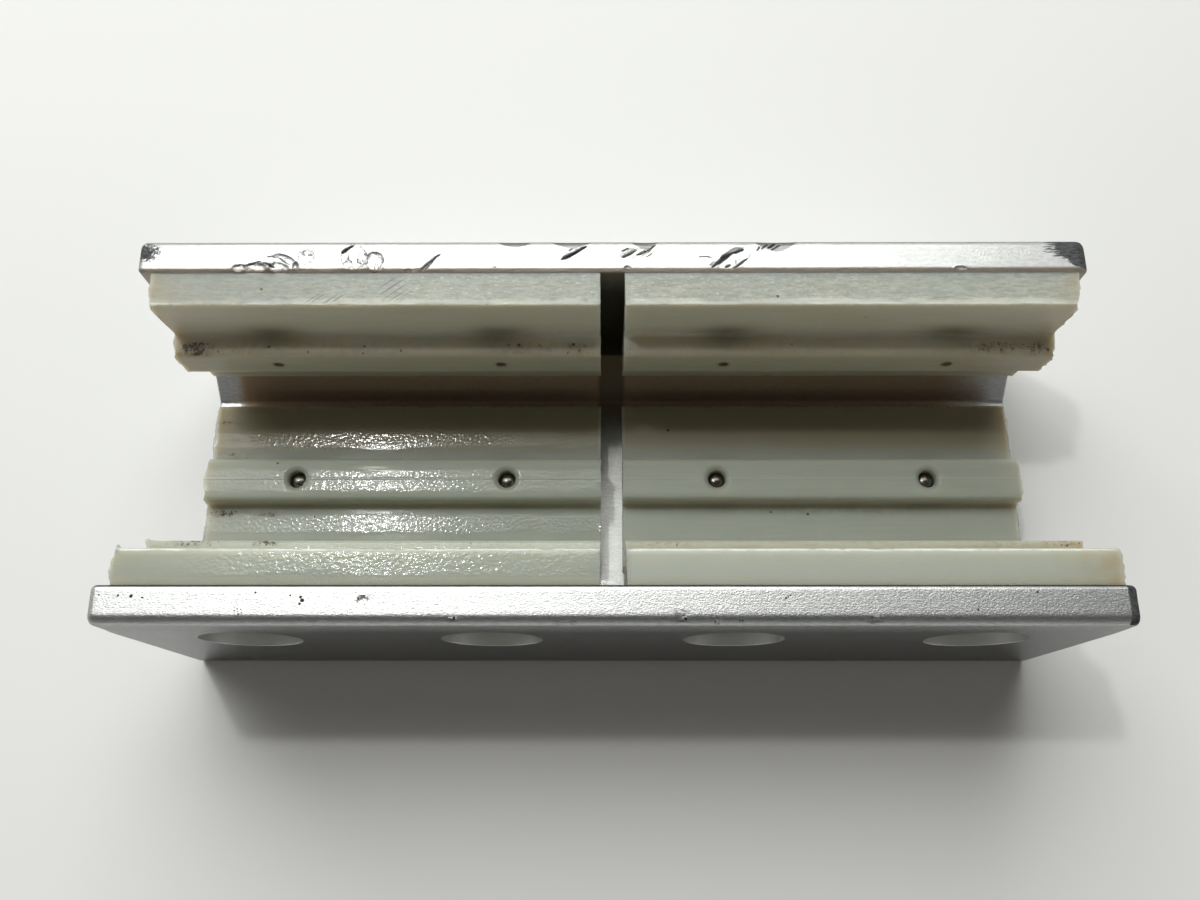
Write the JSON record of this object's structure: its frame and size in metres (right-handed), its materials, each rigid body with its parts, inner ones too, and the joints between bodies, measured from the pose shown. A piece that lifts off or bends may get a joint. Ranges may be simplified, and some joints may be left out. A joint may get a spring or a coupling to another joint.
{
  "type": "flanged linear bearing",
  "caption": "U-shaped double-flange slide bearing for a T-slot rail: an aluminium channel lined with ridged white plastic pads that are pinned into round holes.",
  "frame": {"origin": "middle of the web's outer face, on which the bearing lies", "axes": "+X along the rail, +Y across the arms from the front arm to the rear arm, +Z out of the open side"},
  "size_m": [0.1524, 0.062, 0.0472],
  "materials": {
    "body": "clear satin anodised extrusion",
    "pad": "milky white slide plastic",
    "pin": "bright steel"
  },
  "bodies": {
    "root": {"channel_body": "body", "front_pad_left": "pad", "front_pad_right": "pad", "rear_pad_left": "pad", "rear_pad_right": "pad", "web_pad_left": "pad", "web_pad_right": "pad", "front_pins_left": "pin", "front_pins_right": "pin", "rear_pins_left": "pin", "rear_pins_right": "pin", "web_pins_left": "pin", "web_pins_right": "pin"}
  },
  "joints": []
}
